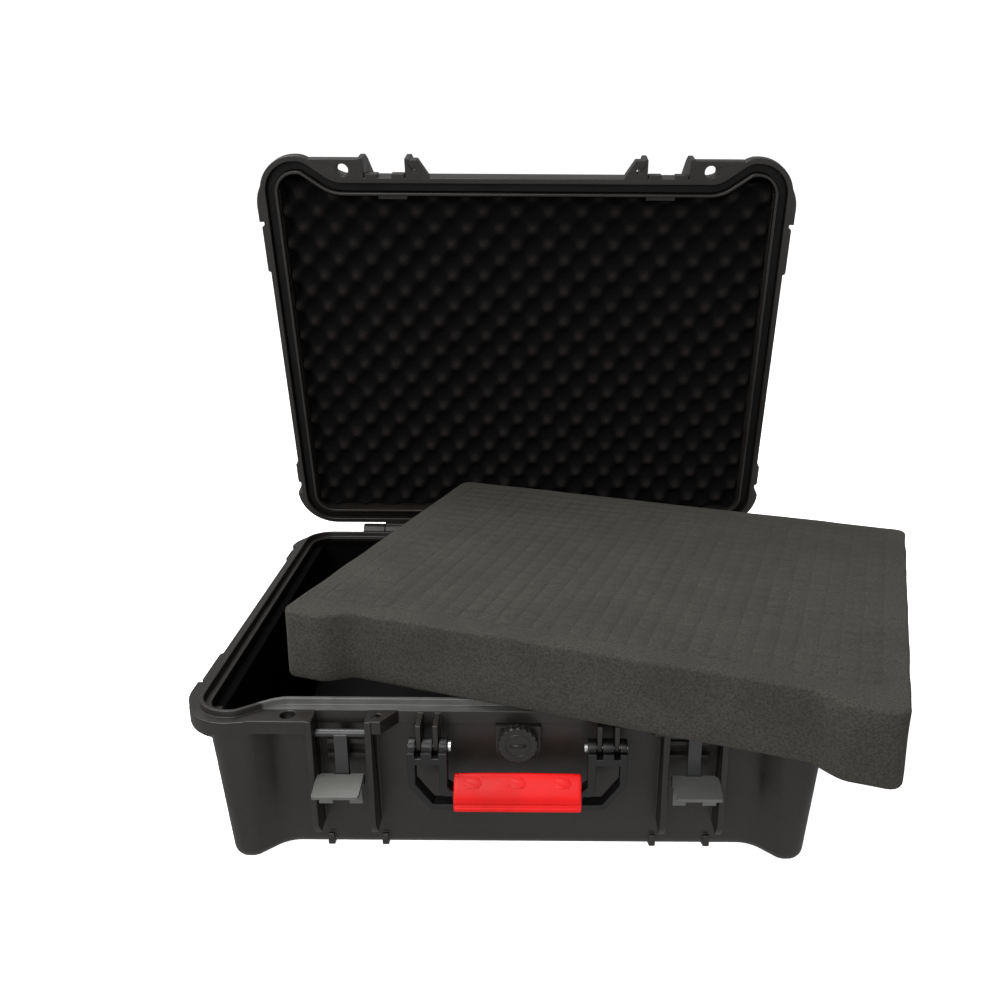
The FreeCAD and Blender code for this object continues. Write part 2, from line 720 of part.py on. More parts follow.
def valve_knob():
    """The knob that opens the valve, with finger scallops round its edge."""
    scallops = 18
    front = -199
    rear = -192.2
    round_ = size("knobRound")
    disc = turned("KnobDisc", round_, front, rear)
    disc = rounded("KnobSoft", disc, 1.5, lambda point, direction: abs(point.y - front) < 0.01)
    holes = [turned("KnobBore", 6 + size("runningGap"), -196.9, -190)]
    for step in range(scallops):
        angle = math.tau * step / scallops
        x = (round_ + 0.6) * math.cos(angle)
        z = VALVE_Z + (round_ + 0.6) * math.sin(angle)
        holes.append(cylinder(f"Scallop{step}", "y", (x, front - 1, z), 1.6, 9))
    return cut("valve_knob", disc, holes)


# ---- build and write ---------------------------------------------------------------------

def build():
    pieces = [base_shell(), lid_shell(), lid_gasket(), lid_foam(), lid_foam_clips(),
              foam_block(), base_foam_pad(), handle_frame(), handle_grip(),
              valve_body(), valve_o_ring(), valve_nut(), valve_membrane(), valve_knob()]
    for word, side in SIDES.items():
        pieces += [hinge_pin(word, side), handle_pin(word, side), latch_base_pin(word, side),
                   latch_link(word, side), latch_lever(word, side), latch_lever_pin(word, side)]
    return pieces


def write(pieces):
    doc.recompute()
    for obj in doc.Objects:
        if "Invalid" in obj.State or "Error" in obj.State:
            raise RuntimeError(f"{obj.Name} did not recompute: {obj.State}")
    for piece in pieces:
        piece.Label = piece.Name
        shape = piece.Shape
        if shape.isNull() or not shape.isValid() or not shape.Solids:
            raise RuntimeError(f"{piece.Label} has no valid shape")
        print(f"{piece.Label}: {len(shape.Solids)} solid(s), {shape.Volume / 1000:.1f} cm3")
        shape.exportStep(f"parts/{piece.Label}.step")


write(build())
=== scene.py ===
import json
import math
import random

import bmesh
import bpy
from mathutils import Matrix, Vector, noise


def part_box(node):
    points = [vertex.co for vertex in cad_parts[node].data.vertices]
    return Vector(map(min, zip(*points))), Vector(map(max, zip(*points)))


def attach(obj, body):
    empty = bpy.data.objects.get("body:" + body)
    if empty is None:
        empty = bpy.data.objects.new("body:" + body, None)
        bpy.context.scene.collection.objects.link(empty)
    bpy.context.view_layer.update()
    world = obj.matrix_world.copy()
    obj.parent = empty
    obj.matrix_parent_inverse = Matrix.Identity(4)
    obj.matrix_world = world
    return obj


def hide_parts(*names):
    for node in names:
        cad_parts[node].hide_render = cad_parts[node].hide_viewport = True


# Hard equipment case: looks built round the CAD frame, in the frame's axes: +X right, -Y front,
# +Z up, with the origin under the middle of the base. Materials and boxes are in metres; the
# meshes made here are worked out in millimetres and scaled by MM at the end.

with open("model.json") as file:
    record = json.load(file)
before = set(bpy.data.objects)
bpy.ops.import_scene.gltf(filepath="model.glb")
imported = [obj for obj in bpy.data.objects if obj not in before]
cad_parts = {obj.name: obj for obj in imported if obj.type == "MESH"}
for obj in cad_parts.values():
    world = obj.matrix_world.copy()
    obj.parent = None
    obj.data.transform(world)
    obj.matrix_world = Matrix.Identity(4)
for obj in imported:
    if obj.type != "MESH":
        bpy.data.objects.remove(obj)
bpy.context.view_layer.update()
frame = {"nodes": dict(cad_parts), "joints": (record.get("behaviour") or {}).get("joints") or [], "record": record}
nodes = frame["nodes"]
joints = {joint["name"]: joint for joint in frame["joints"]}
MM = 0.001
TAU = math.tau

# The lid is open at rest: a point of the closed lid goes to its place by this turn.
hinge = joints["lid_hinge"]
HINGE = Vector(hinge["pos_m"])
OPENED = (Matrix.Translation(HINGE)
          @ Matrix.Rotation(-math.radians(hinge["range_deg"][1]), 4, hinge["axis"])
          @ Matrix.Translation(-HINGE))
RIM_HEIGHT = HINGE.z
LID_FACE = RIM_HEIGHT + 0.4 * MM

# The plan of the case at its rim, in millimetres.
HALF_WIDTH, REACH, STEP_FRONT = 257.5, 205, 185
COLUMN_EDGE, STEP_EDGE, SLOPE = 213, 184, 0.28
COLUMN_IN = 7                     # the lid's columns end this much further back

# Where the base's inside is darkened by painted shade, and where its front rim gets a painted highlight, in
# metres.
MOUTH_LOW, MOUTH_HIGH = (-0.2409, -0.1688, 0.1226), (0.2409, 0.1884, 0.13095)
WALL_MIDDLE = {"side": 0.2344, "front": 0.1787, "rear": 0.1922}      # at the rim
REAR_CORNER = 0.4203              # x and y together, across a rounded corner of the wall
WALL_DRAFT = math.radians(3.5)
FLOOR_MIDDLE = 0.0025
RIM_LOW, RIM_HIGH = (-0.236, -0.1845, 0.1305), (0.236, -0.1725, 0.138)
MASK_EDGE = 0.0008                # half the width over which a mask fades


# ---- materials ---------------------------------------------------------------------------

class Shader:
    """A material with a Principled BSDF and short calls for its procedural inputs."""

    def __init__(self, name, colour, roughness, **sockets):
        self.name = name
        self.material = bpy.data.materials.new(name)
        self.material.use_nodes = True
        self.tree = self.material.node_tree
        self.bsdf = self.tree.nodes["Principled BSDF"]
        self.set("Base Color", (*colour, 1.0))
        self.set("Roughness", roughness)
        for socket, value in sockets.items():
            self.set(socket.replace("_", " "), value)
        self.where = self.node("TexCoord").outputs["Object"]

    def set(self, socket, value):
        self.bsdf.inputs[socket].default_value = value

    def link(self, output, socket):
        self.tree.links.new(output, self.bsdf.inputs[socket])

    def feeding(self, socket):
        """The output that a shader socket already takes its value from."""
        return self.bsdf.inputs[socket].links[0].from_socket

    def feed(self, socket, value):
        """Links an output to a socket, or sets the socket's own number or colour."""
        if isinstance(value, bpy.types.NodeSocket):
            self.tree.links.new(value, socket)
        else:
            socket.default_value = value

    def node(self, kind, **inputs):
        made = self.tree.nodes.new(f"ShaderNode{kind}")
        for name, value in inputs.items():
            self.feed(made.inputs[name.replace("_", " ")], value)
        return made

    def stretched(self, stretch):
        """The place of a point in the frame, scaled along each axis."""
        if stretch is None:
            return self.where
        return self.node("Mapping", Vector=self.where, Scale=stretch).outputs["Vector"]

    def noise(self, scale, detail=2.0, stretch=None):
        return self.node("TexNoise", Scale=scale, Detail=detail,
                         Vector=self.stretched(stretch)).outputs["Fac"]

    def cells(self, scale):
        return self.node("TexVoronoi", Scale=scale, Vector=self.where).outputs["Distance"]

    def ramp(self, source, low, high, to_low, to_high):
        """source from low..high, taken smoothly to to_low..to_high."""
        made = self.node("MapRange", Value=source, From_Min=low, From_Max=high,
                         To_Min=to_low, To_Max=to_high)
        made.interpolation_type = "SMOOTHSTEP"
        return made.outputs["Result"]

    def mix(self, factor, first, second):
        """A colour: first where the factor is 0 and second where it is 1."""
        made = self.node("Mix")
        made.data_type = "RGBA"
        for index, value in ((0, factor), (6, first), (7, second)):
            self.feed(made.inputs[index], value)
        return made.outputs[2]

    def choose(self, mask, outside, inside):
        """A number: outside where the mask is 0 and inside where it is 1."""
        made = self.node("Mix")
        for index, value in ((0, mask), (2, outside), (3, inside)):
            self.feed(made.inputs[index], value)
        return made.outputs[0]

    def bump(self, height, strength, distance, below=None):
        """A bump on the shader's normal, on top of another bump if one is given."""
        made = self.node("Bump", Strength=strength, Distance=distance, Height=height)
        if below is not None:
            self.feed(made.inputs["Normal"], below)
        self.link(made.outputs["Normal"], "Normal")
        return made.outputs["Normal"]

    def math(self, operation, first, second=0.0):
        made = self.node("Math")
        made.operation = operation
        for socket, value in zip(made.inputs, (first, second)):
            self.feed(socket, value)
        return made.outputs["Value"]

    def axes(self):
        split = self.node("SeparateXYZ", Vector=self.where)
        return [split.outputs[axis] for axis in "XYZ"]

    def along(self, direction):
        """How far a point lies along a direction from the frame's origin."""
        made = self.node("VectorMath")
        made.operation = "DOT_PRODUCT"
        self.feed(made.inputs[0], self.where)
        self.feed(made.inputs[1], direction)
        return made.outputs["Value"]

    def over(self, source, limit):
        """1 where a number is over a limit, and 0 where it is under it."""
        return self.ramp(source, limit - MASK_EDGE, limit + MASK_EDGE, 0.0, 1.0)

    def under(self, source, limit):
        return self.ramp(source, limit - MASK_EDGE, limit + MASK_EDGE, 1.0, 0.0)

    def all_of(self, masks):
        whole, *others = masks
        for mask in others:
            whole = self.math("MULTIPLY", whole, mask)
        return whole

    def within(self, low, high):
        """1 inside the box between two corners in the frame's metres, and 0 outside it."""
        masks = []
        for place, start, end in zip(self.axes(), low, high):
            masks += [self.over(place, start), self.under(place, end)]
        return self.all_of(masks)

    def within_walls(self):
        """1 inside the hollow of the base, up to the middle of its leaning walls."""
        x, y, z = self.axes()
        lean = self.math("MULTIPLY", self.math("SUBTRACT", RIM_HEIGHT, z), math.tan(WALL_DRAFT))
        side = self.math("ADD", self.math("ABSOLUTE", x), lean)
        front = self.math("SUBTRACT", lean, y)
        rear = self.math("ADD", lean, y)
        below_rim = self.ramp(lean, 0.0, MASK_EDGE / 4, 0.0, 1.0)
        return self.all_of([self.over(z, FLOOR_MIDDLE), below_rim,
                            self.under(side, WALL_MIDDLE["side"]),
                            self.under(front, WALL_MIDDLE["front"]),
                            self.under(rear, WALL_MIDDLE["rear"]),
                            self.under(self.math("ADD", side, rear), REAR_CORNER)])


def shade(colour, factor):
    return tuple(channel * factor for channel in colour) + (1.0,)


def moulded_plastic(name, colour, roughness, grain=0.12, dust=0.25, specular=0.5):
    """Injection-moulded plastic: a fine spark-eroded grain, cloudy gloss, a little dust on top."""
    clouds, specks, smears, flow, sparks = 14, 260, 30, 9, 1300      # scales, per metre
    look = Shader(name, colour, roughness, Specular_IOR_Level=specular)
    body = look.mix(look.ramp(look.noise(clouds, 4.0), 0.3, 0.7, 0.0, 1.0),
                    shade(colour, 0.85), shade(colour, 1.2))
    dusty = tuple(0.6 * channel + 0.018 for channel in colour) + (1.0,)
    look.link(look.mix(look.ramp(look.noise(specks, 3.0), 0.45, 0.75, 0.0, dust), body, dusty),
              "Base Color")
    look.link(look.ramp(look.noise(smears, 5.0), 0.3, 0.7, roughness - 0.05, roughness + 0.09),
              "Roughness")
    waves = look.bump(look.noise(flow), 0.06, 0.004)
    look.bump(look.noise(sparks), grain, 0.00025, below=waves)
    return look


def foam_material(name, colour, pores, pore_depth, speckle, velvet=0.15):
    """Open-cell foam: pores, a soft velvety edge and slightly uneven dye."""
    look = Shader(name, colour, 0.95, Sheen_Weight=velvet, Sheen_Roughness=0.6,
                  Sheen_Tint=shade(colour, 4.0), Specular_IOR_Level=0.2)
    dyed = look.mix(look.ramp(look.noise(22, 4.0), 0.3, 0.7, 0.0, 1.0),
                    shade(colour, 0.9), shade(colour, 1.1))
    dark = look.ramp(look.noise(pores * 0.7, 3.0), 0.35, 0.62, speckle, 0.0)
    pale = look.ramp(look.noise(pores * 0.55, 4.0, (1, 1.1, 0.9)), 0.55, 0.78, 0.0, speckle)
    grainy = look.mix(pale, dyed, shade(colour, 1.6))
    look.link(look.mix(dark, grainy, shade(colour, 0.4)), "Base Color")
    soft = look.bump(look.noise(120, 3.0), 0.25, 0.0006)
    look.bump(look.cells(pores), pore_depth, 0.0005, below=soft)
    return look


def lining_look():
    """The lid's foam, darker down in its hollows, which the room's light barely reaches."""
    bottom = (0.0006, 0.0005, 0.0005, 1.0)
    look = foam_material("lid_foam", (0.0145, 0.0112, 0.0100), 600, 0.5, 0.4, velvet=0.04)
    inward = OPENED.to_3x3() @ Vector((0, 0, 1))
    depth = look.math("SUBTRACT", look.along(inward), inward.dot(HINGE))
    hollow = look.ramp(depth, 4 * MM, 16 * MM, 0.0, 1.0)
    look.link(look.mix(hollow, look.feeding("Base Color"), bottom), "Base Color")
    return look


def steel(name):
    look = Shader(name, (0.62, 0.61, 0.6), 0.26, Metallic=1.0)
    look.link(look.ramp(look.noise(60, 4.0), 0.3, 0.7, 0.2, 0.34), "Roughness")
    look.bump(look.noise(900, 2.0, (1, 14, 14)), 0.08, 0.0002)
    return look


def rubber(name, colour):
    look = Shader(name, colour, 0.6, Specular_IOR_Level=0.2)
    look.link(look.ramp(look.noise(40, 4.0), 0.3, 0.7, 0.52, 0.7), "Roughness")
    look.bump(look.noise(900), 0.1, 0.0002)
    return look


def case_look():
    """The case's own plastic: satin outside and matt inside; painted shade darkens the base's hollow to near black
    with little reflection, and a painted highlight lays a pale band on the front rim.
    """
    black, pale = (0.0142, 0.0116, 0.0096), (0.1, 0.101, 0.096, 1.0)
    # The inside colour is painted shade: the base's hollow is coloured near-black, with its reflection turned
    # down, where shade falls.
    inside_painted_shade, inside_roughness = (0.0016, 0.0013, 0.0012, 1.0), 0.85
    specular, inside_specular = 0.5, 0.04
    look = moulded_plastic("case_plastic", black, 0.36)
    inside = look.math("MAXIMUM", look.within_walls(), look.within(MOUTH_LOW, MOUTH_HIGH))
    # The pale band on the front rim is a painted highlight: a pale, slightly uneven colour where light glances off
    # the rim.
    rim_painted_highlight = look.mix(look.ramp(look.noise(45, 4.0), 0.35, 0.62, 0.75, 1.0), (*black, 1.0), pale)
    outside = look.mix(look.within(RIM_LOW, RIM_HIGH), look.feeding("Base Color"), rim_painted_highlight)
    look.link(look.mix(inside, outside, inside_painted_shade), "Base Color")
    look.link(look.choose(inside, look.feeding("Roughness"), inside_roughness), "Roughness")
    look.link(look.choose(inside, specular, inside_specular), "Specular IOR Level")
    return look


LOOKS = {look.name: look.material for look in (
    moulded_plastic("trim_plastic", (0.0105, 0.0092, 0.0084), 0.3, dust=0.15),
    moulded_plastic("handle_plastic", (0.0035, 0.003, 0.0028), 0.36, dust=0.05),
    moulded_plastic("link_plastic", (0.034, 0.0345, 0.0355), 0.3, dust=0.15),
    moulded_plastic("lever_plastic", (0.12, 0.122, 0.113), 0.4, dust=0.2),
    moulded_plastic("grip_red", (0.74, 0.0022, 0.0022), 0.42, grain=0.06, dust=0.0, specular=0.32),
    rubber("gasket_rubber", (0.0045, 0.0042, 0.004)),
    steel("pin_steel"),
    foam_material("block_foam", (0.0505, 0.0485, 0.0425), 820, 0.7, 0.6),
    rubber("membrane", (0.7, 0.7, 0.68)),
    # The floor pad's near-black colour is painted shade for the base's hollow.
    foam_material("pad_foam_painted_shade", (0.0036, 0.003, 0.0028), 600, 0.5, 0.4, velvet=0.04),
    case_look(),
    lining_look(),
)}


def dress(piece, look):
    piece.data.materials.clear()
    piece.data.materials.append(LOOKS[look])


for part in frame["record"]["subparts"]:
    dress(nodes[part["node"]], part["material_slot"])
for name in ("handle_frame", "lid_foam_clips"):
    dress(nodes[name], "handle_plastic")
for side in ("left", "right"):
    dress(nodes[f"{side}_latch_link"], "link_plastic")


# ---- softened edges on the CAD parts -----------------------------------------------------

SHARP = math.radians(38)          # edges that turn by more than this are rounded
EDGE_WIDTHS = {"base_shell": 0.7, "lid_shell": 0.7, "lid_foam_clips": 0.4, "handle_frame": 0.7,
               "valve_knob": 0.3, "valve_body": 0.3, "valve_nut": 0.3}
for side in ("left", "right"):
    EDGE_WIDTHS[f"{side}_latch_link"] = 0.4
    EDGE_WIDTHS[f"{side}_latch_lever"] = 0.4


def rounded(piece, width, angle=None):
    bevel = piece.modifiers.new("Bevel", "BEVEL")
    bevel.width = width
    bevel.segments = 2
    bevel.limit_method = "ANGLE"
    if angle is not None:
        bevel.angle_limit = angle
    return bevel


def soften(name, width):
    """Rounds a CAD part's sharp edges by modifiers; its own mesh stays as it is."""
    node = nodes[name]
    for polygon in node.data.polygons:
        polygon.use_smooth = True
    weld = node.modifiers.new("Weld", "WELD")
    weld.merge_threshold = 0.01 * MM
    rounded(node, width, SHARP).use_clamp_overlap = False
    normals = node.modifiers.new("Normals", "WEIGHTED_NORMAL")
    normals.keep_sharp = False
    normals.weight = 60


for name, width in EDGE_WIDTHS.items():
    soften(name, width * MM)


# ---- meshes made here --------------------------------------------------------------------

def mesh_object(name, mesh_data, body, slot, look=None):
    """An object in the scene from a mesh in millimetres; its look is its slot's, or its own."""
    data = bpy.data.meshes.new(name)
    mesh_data.normal_update()
    bmesh.ops.recalc_face_normals(mesh_data, faces=mesh_data.faces)
    mesh_data.to_mesh(data)
    mesh_data.free()
    for polygon in data.polygons:
        polygon.use_smooth = True
    piece = bpy.data.objects.new(name, data)
    bpy.context.scene.collection.objects.link(piece)
    dress(piece, look or slot)
    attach(piece, body)
    return piece


def box_mm(node):
    """The two corners of a CAD part's box, in millimetres."""
    return (Vector(corner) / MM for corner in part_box(node))


def smooth(value, start, end):
    share = min(1.0, max(0.0, (value - start) / (end - start)))
    return share * share * (3 - 2 * share)


def even(start, end, count):
    return [start + (end - start) * step / count for step in range(count + 1)]


def strip(mesh_data, first, second, closed=True):
    """Faces between two lines of vertices, and round to their start if they are closed."""
    count = len(first)
    for index in range(count if closed else count - 1):
        after = (index + 1) % count
        mesh_data.faces.new((first[index], first[after], second[after], second[index]))


# ---- foam --------------------------------------------------------------------------------

RING_GAP, SWAY_SIZE = 8, 34       # down the sides of a slab, and along them, in millimetres


def corner_inset(from_side, radius):
    """How far a rounded corner draws the edge in, at a distance from the side."""
    if from_side >= radius:
        return 0.0
    return radius - math.sqrt(max(0.0, radius ** 2 - (radius - from_side) ** 2))


def edge_columns(half, radius):
    """Where the first few columns are, from the side inwards, close together at a corner."""
    return [half - radius * share for share in (0, 0.06, 0.2, 0.42, 0.7, 1.0)]


def all_columns(outer, count):
    """Columns from side to side: the outer ones at both ends, and even steps between them."""
    return [-x for x in outer] + even(-outer[-1], outer[-1], count)[1:-1] + outer[::-1]


def slab(columns, rows, top, thickness, edge, waver, seed, place):
    """A closed block of foam, in millimetres, placed by a matrix.

    rows(x) gives the y of each row in the column at x, and top(x, y) the height of its upper
    face. The edge is rounded, and the sides waver softly as cut foam does."""
    mesh_data = bmesh.new()
    grid = [[mesh_data.verts.new((x, y, top(x, y))) for y in rows(x)] for x in columns]
    for left, right in zip(grid, grid[1:]):
        strip(mesh_data, left, right, closed=False)
    loop = ([column[0] for column in grid] + grid[-1][1:]
            + [column[-1] for column in reversed(grid[:-1])] + grid[0][-2:0:-1])
    outward = []
    for index in range(len(loop)):
        along = loop[(index + 1) % len(loop)].co - loop[index - 1].co
        outward.append(Vector((along.y, -along.x, 0)).normalized())
    straight = thickness - 2 * edge
    count = max(2, round(straight / RING_GAP))
    steps = [(0.75 * edge, 0.25 * edge), (edge, edge)]
    steps += [(edge, edge + straight * step / count) for step in range(1, count + 1)]
    steps += [(0.7 * edge, thickness - 0.2 * edge), (0.0, thickness)]
    above = loop
    for out, down in steps:
        ring = []
        for vertex, normal in zip(loop, outward):
            point = vertex.co + normal * out
            if down < thickness:
                spot = Vector((point.x, point.y, down)) / SWAY_SIZE + Vector((seed, 0, 0))
                point = point + normal * (noise.noise(spot) * waver)
            ring.append(mesh_data.verts.new((point.x, point.y, -down)))
        strip(mesh_data, above, ring)
        above = ring
    mesh_data.faces.new(above)
    mesh_data.transform(place @ Matrix.Scale(MM, 4))
    return mesh_data


def lid_lining():
    """Egg-crate foam that fills the lid: rows of soft peaks over the plan of the lid."""
    side, front, back, corner = 18.9, 18.7, 19.2, 7      # in from the rim's outline
    pitch, across, up = 32.5, 6, 4                       # of the peaks, and where they start
    peak, wobble, middle, thickness = 9.4, 0.9, 14.6, 40
    columns_between, rows_between = 146, 108
    half = HALF_WIDTH - side
    shift = SLOPE * front
    column_start, column_end = STEP_EDGE + shift - 2, COLUMN_EDGE + shift - 6

    def rows(x):
        column = smooth(abs(x), column_start, column_end)
        near = -(STEP_FRONT - front) - (REACH - STEP_FRONT - COLUMN_IN) * column
        drawn = corner_inset(half - abs(x), corner)
        return even(near + drawn, REACH - back - drawn, rows_between)

    def top(x, y):
        wave = math.cos(TAU * (x + across) / pitch) * math.cos(TAU * (y + up) / pitch)
        return peak * wave + wobble * noise.noise(Vector((x, y, 3)) / 40) - 1.0

    place = (OPENED @ Matrix.Translation((0, 0, LID_FACE + middle * MM))
             @ Matrix.Rotation(math.pi, 4, "Y"))
    columns = all_columns(edge_columns(half, corner), columns_between)
    piece = mesh_object("lid_lining", slab(columns, rows, top, thickness, 0.6, 0.4, 2.0, place),
                        "lid", "lid_foam")
    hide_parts("lid_foam")


def loose_block():
    """The pick-and-pluck block: a slit grid on top, scooped in along its front."""
    low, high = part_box("foam_block")
    yaw = math.radians(-18.9)
    half_long, half_deep, scoop, corner, edge = 236.0, 184.0, 14.5, 8, 2.4
    cells_x, cells_y, pitch = 29, 21, 15.0
    slit, groove, unevenness = 0.45, 0.4, 0.09
    below_rise, waver, seed = 0.8, 0.9, 5.0              # room left for the uneven top
    chance = random.Random(11)
    rise = [[chance.uniform(-unevenness, unevenness) for _ in range(cells_y)]
            for _ in range(cells_x)]
    grid_x = -cells_x * pitch / 2
    grid_y = -half_deep + scoop + 22

    def lines(start, cells):
        """Three lines close together at each slit, and one in the middle of each cell."""
        marks = []
        for cell in range(cells + 1):
            line = start + cell * pitch
            marks += [line - slit, line, line + slit]
            if cell < cells:
                marks += [line + pitch / 2]
        return marks

    ends = [x - edge for x in edge_columns(half_long, corner)] + [222, 219.5]
    scoop_ends = [-205, -200, -194, -188, -182, -176, 205, 198, 190, 182, 174, 168]
    columns = sorted({round(x, 3) for x in
                      [-x for x in ends] + ends + lines(grid_x, cells_x) + scoop_ends})
    inner_y = lines(grid_y, cells_y)

    def rows(x):
        drawn = corner_inset(half_long - edge - abs(x), corner)
        scooped = scoop * (smooth(x, -203, -177) - smooth(x, 171, 203))
        low_y, high_y = -half_deep + edge + scooped + drawn, half_deep - edge - drawn
        first, last = inner_y[0], inner_y[-1]
        lead = [low_y + (first - low_y) * share for share in (0, 0.2, 0.5, 0.8)]
        tail = [last + (high_y - last) * share for share in (0.3, 0.7, 1.0)]
        return lead + [min(y, high_y - 1) for y in inner_y] + tail

    def top(x, y):
        wave = (1.1 * noise.noise(Vector((x, y, 0)) / 90)
                + 0.25 * noise.noise(Vector((x, y, 9)) / 22))
        across = (x - grid_x) / pitch
        along = (y - grid_y) / pitch
        if not (-0.02 < across < cells_x + 0.02 and -0.02 < along < cells_y + 0.02):
            return wave
        off = min(abs(across - round(across)), abs(along - round(along))) * pitch
        if off < slit / 2:
            return wave - groove
        cell_x = min(cells_x - 1, max(0, int(across)))
        cell_y = min(cells_y - 1, max(0, int(along)))
        return wave + rise[cell_x][cell_y]

    thickness = (high[2] - low[2]) / MM - below_rise - groove
    centre = ((low[0] + high[0]) / 2, (low[1] + high[1]) / 2, high[2] - below_rise * MM)
    place = Matrix.Translation(centre) @ Matrix.Rotation(yaw, 4, "Z")
    piece = mesh_object("loose_foam", slab(columns, rows, top, thickness, edge, waver, seed,
                                           place), "foam", "block_foam")
    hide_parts("foam_block")


def floor_pad():
    """The thin pad on the floor of the base, coloured near-black as painted shade down in the base's hollow."""
    low, high = box_mm("base_foam_pad")
    half, corner, edge = (high.x - low.x) / 2, 12, 1.5
    thickness, waver, seed = high.z - low.z - 0.5, 0.4, 8.0
    columns = all_columns([x - edge for x in edge_columns(half, corner)], 24)

    def rows(x):
        drawn = corner_inset(half - edge - abs(x), corner)
        return even(low.y + edge + drawn, high.y - edge - drawn, 22)

    def top(x, y):
        return 0.8 * noise.noise(Vector((x, y, 5)) / 70) - 0.8

    place = Matrix.Translation((0, 0, high.z * MM))
    piece = mesh_object("floor_pad", slab(columns, rows, top, thickness, edge, waver, seed,
                                          place), "base", "lid_foam", "pad_foam_painted_shade")
    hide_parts("base_foam_pad")


# ---- the red grip and the knob's face ----------------------------------------------------

def grip():
    """The soft grip: a crowned top, a groove along the front and a lip under it."""
    low, high = box_mm("handle_grip")
    back, front = high.y, low.y
    upper, lower = Vector((back - 5.6, high.z - 2.4)), Vector((front + 3.4, high.z - 9.2))
    groove = 2.1
    profile = [(back - 0.6, high.z - 0.8), (back - 3, high.z - 0.2), upper,
               lower, (front + 0.9, high.z - 14.2), (front + 0.2, high.z - 16.6),
               (front, high.z - 18.6), (front + 0.1, low.z + 7.6),
               (front + groove, low.z + 7.0), (front + groove, low.z + 4.7),
               (front + 0.1, low.z + 4.1), (front, low.z + 1.2), (front + 1.1, low.z),
               (back - 2.4, low.z), (back, low.z + 2.4), (back, high.z - 2.6)]
    ends = ((0.0, 1.4), (0.35, 0.5), (1.2, 0.1), (2.6, 0.0))     # in from an end, and shrunk by
    sag = 0.5                                                    # of the top towards the ends
    middle = Vector(((front + back) / 2, (low.z + high.z) / 2))
    stations = [(low.x + out, shrink) for out, shrink in ends]
    stations += [(x, 0.0) for x in even(low.x, high.x, 24)[1:-1]]
    stations += [(high.x - out, shrink) for out, shrink in reversed(ends)]
    mesh_data = bmesh.new()
    rings = []
    for x, shrink in stations:
        crown = sag * (x / high.x) ** 2
        ring = []
        for y, z in profile:
            inward = (middle - Vector((y, z))).normalized() * shrink
            fall = crown if z > middle.y + 8 else 0
            ring.append(mesh_data.verts.new((x, y + inward.x, z + inward.y - fall)))
        rings.append(ring)
    for ring, following in zip(rings, rings[1:]):
        strip(mesh_data, ring, following)
    mesh_data.faces.new(rings[0])
    mesh_data.faces.new(rings[-1])
    mesh_data.transform(Matrix.Scale(MM, 4))
    piece = mesh_object("red_grip", mesh_data, "handle", "grip_red")
    subdivide = piece.modifiers.new("Subdivision", "SUBSURF")
    subdivide.levels = subdivide.render_levels = 2
    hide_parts("handle_grip")
    grip_panels(upper, lower)


def grip_panels(upper, lower):
    """Three faint rounded squares on the slope of the grip, between two points of its profile."""
    size, spacing, corner = (13.5, 7.4, 0.36, 1.0), 34.0, 1.8
    slope = lower - upper
    lean = math.atan2(-slope.y, -slope.x)
    mesh_data = bmesh.new()
    for x in (-spacing, 0.0, spacing):
        centre = Vector((x, (upper.x + lower.x) / 2, (upper.y + lower.y) / 2))
        place = (Matrix.Translation(centre) @ Matrix.Rotation(lean, 4, "X")
                 @ Matrix.Diagonal(size))
        made = bmesh.ops.create_cube(mesh_data, size=1, matrix=place)["verts"]
        upright = []
        for edge in {edge for vertex in made for edge in vertex.link_edges}:
            line = edge.verts[0].co - edge.verts[1].co
            if abs(line.normalized().x) < 0.5 and line.length < 1:
                upright.append(edge)
        bmesh.ops.bevel(mesh_data, geom=upright, offset=corner, segments=4, affect="EDGES")
    mesh_data.transform(Matrix.Scale(MM, 4))
    rounded(mesh_object("grip_panels", mesh_data, "handle", "grip_red"), 0.18 * MM)


def knob_face():
    """A raised ring and a thumb bar on the face of the valve knob."""
    low, high = box_mm("valve_knob")
    centre = Vector(((low.x + high.x) / 2, low.y, (low.z + high.z) / 2))
    turns, sunk, bar_size = 48, 0.1, (13, 1.2, 2.6, 1)
    profile = ((8.6, 0.0), (8.9, 0.5), (9.9, 0.5), (10.2, 0.0))     # the ring's radius and height
    mesh_data = bmesh.new()
    rings = []
    for step in range(turns):
        angle = TAU * step / turns
        rings.append([mesh_data.verts.new((centre.x + radius * math.cos(angle),
                                           centre.y + sunk - rise,
                                           centre.z + radius * math.sin(angle)))
                      for radius, rise in profile])
    for ring, following in zip(rings, rings[1:] + rings[:1]):
        strip(mesh_data, ring, following)
    bar = Matrix.Translation(centre + Vector((0, -0.1, 0))) @ Matrix.Diagonal(bar_size)
    made = bmesh.ops.create_cube(mesh_data, size=1, matrix=bar)["verts"]
    bmesh.ops.bevel(mesh_data, geom=list({edge for vertex in made for edge in vertex.link_edges}),
                    offset=0.35, segments=3, affect="EDGES")
    mesh_data.transform(Matrix.Scale(MM, 4))
    mesh_object("knob_face", mesh_data, "valve_knob", "trim_plastic")


lid_lining()
loose_block()
floor_pad()
grip()
knob_face()


# ---- stage, camera, light ----------------------------------------------------------------

def white_stage(name, colour, roughness, glow):
    """Dresses the object just made as a white part of the studio that lights nothing else."""
    piece = bpy.context.object
    piece.name = name
    look = Shader(name, colour, roughness, Specular_IOR_Level=0.0, Emission_Strength=glow,
                  Emission_Color=(1, 1, 1, 1))
    piece.data.materials.append(look.material)
    piece.visible_diffuse = False
    piece.visible_glossy = False
    return piece


def floor():
    bpy.ops.mesh.primitive_plane_add(size=40, location=(0, 0, -0.0004))
    plane = white_stage("studio_floor", (0.95, 0.95, 0.95), 0.9, 0.95)


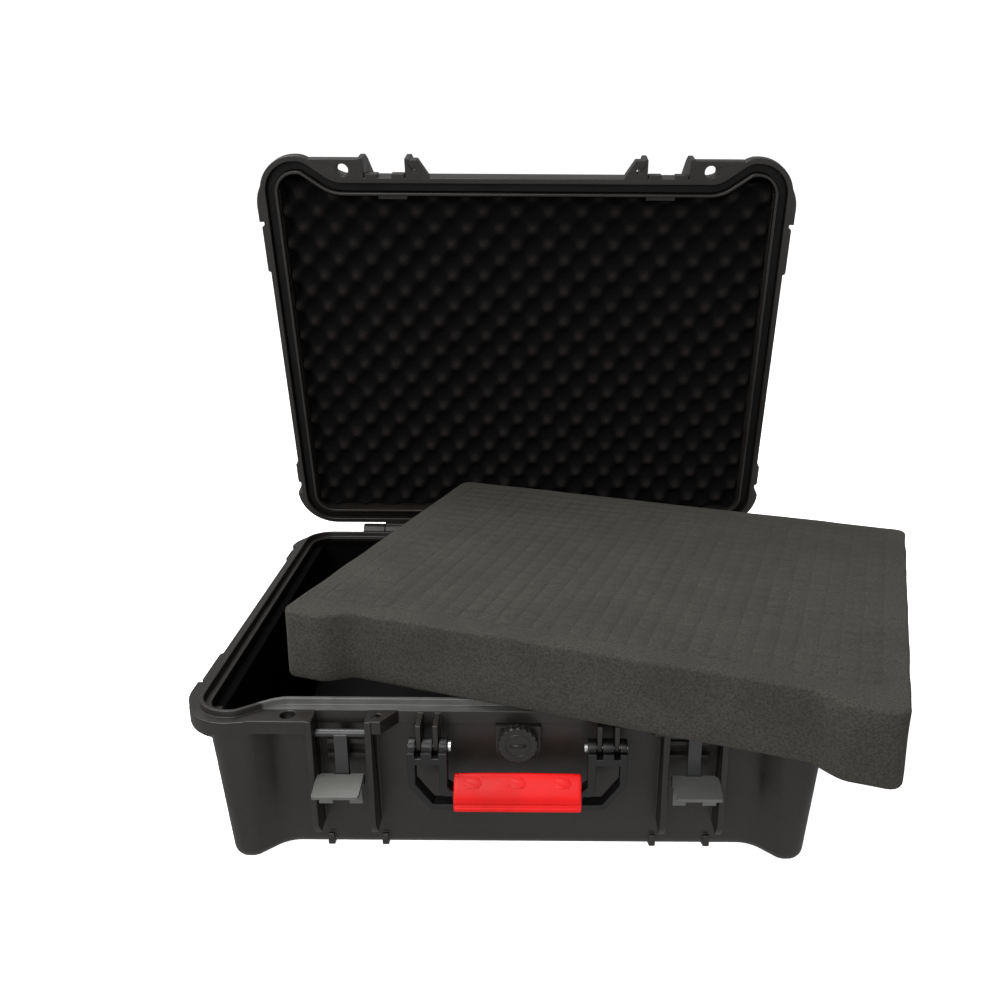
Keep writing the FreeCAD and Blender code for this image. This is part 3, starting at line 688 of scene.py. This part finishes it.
def backdrop():
    """A white shell round the studio, which the camera sees and which casts no shadow."""
    bpy.ops.mesh.primitive_uv_sphere_add(radius=18, segments=48, ring_count=24)
    shell = white_stage("studio_backdrop", (0, 0, 0), 1.0, 1.05)
    shell.visible_shadow = False


def camera():
    """Just above the open case, looking down at it from the front."""
    data = bpy.data.cameras.new("camera")
    data.sensor_width = 36
    data.lens = 34.58
    data.shift_x = -0.0434
    data.shift_y = -0.0089
    data.clip_start = 0.02
    data.clip_end = 60
    eye = bpy.data.objects.new("camera", data)
    bpy.context.scene.collection.objects.link(eye)
    place = (0.019, -0.8375, 0.5199)
    yaw, pitch, roll = 0.001, 0.312, 0.006
    forward = Vector((-math.sin(yaw) * math.cos(pitch), math.cos(yaw) * math.cos(pitch),
                      -math.sin(pitch)))
    right = Vector((math.cos(yaw), math.sin(yaw), 0))
    up = right.cross(forward)
    right, up = (math.cos(roll) * right + math.sin(roll) * up,
                 math.cos(roll) * up - math.sin(roll) * right)
    turn = Matrix((right, up, -forward)).transposed()
    eye.matrix_world = Matrix.Translation(place) @ turn.to_4x4()
    bpy.context.scene.camera = eye


def area_light(name, place, aim, width, height, power):
    data = bpy.data.lights.new(name, "AREA")
    data.shape = "RECTANGLE"
    data.size = width
    data.size_y = height
    data.energy = power
    light = bpy.data.objects.new(name, data)
    light.location = place
    light.rotation_euler = (Vector(aim) - Vector(place)).to_track_quat("-Z", "Y").to_euler()
    bpy.context.scene.collection.objects.link(light)


def room_light():
    """Soft light from all round, stronger from the front than from behind."""
    in_front, behind = 0.63, 0.27
    world = bpy.data.worlds.new("studio")
    world.use_nodes = True
    tree = world.node_tree
    place = tree.nodes.new("ShaderNodeTexCoord")
    split = tree.nodes.new("ShaderNodeSeparateXYZ")
    fade = tree.nodes.new("ShaderNodeMapRange")
    for socket, value in (("From Min", -1.0), ("From Max", 1.0),
                          ("To Min", in_front), ("To Max", behind)):
        fade.inputs[socket].default_value = value
    background = tree.nodes["Background"]
    background.inputs["Color"].default_value = (1, 1, 1, 1)
    tree.links.new(place.outputs["Generated"], split.inputs["Vector"])
    tree.links.new(split.outputs["Y"], fade.inputs["Value"])
    tree.links.new(fade.outputs["Result"], background.inputs["Strength"])
    bpy.context.scene.world = world


floor()
backdrop()
camera()
room_light()
area_light("top", (-0.85, 0.05, 1.9), (-0.05, 0, 0.1), 1.8, 1.4, 39)
area_light("front", (-0.8, -2.2, 1.3), (0, 0, 0.1), 1.6, 1.2, 27)
bpy.context.scene.view_settings.view_transform = "Standard"
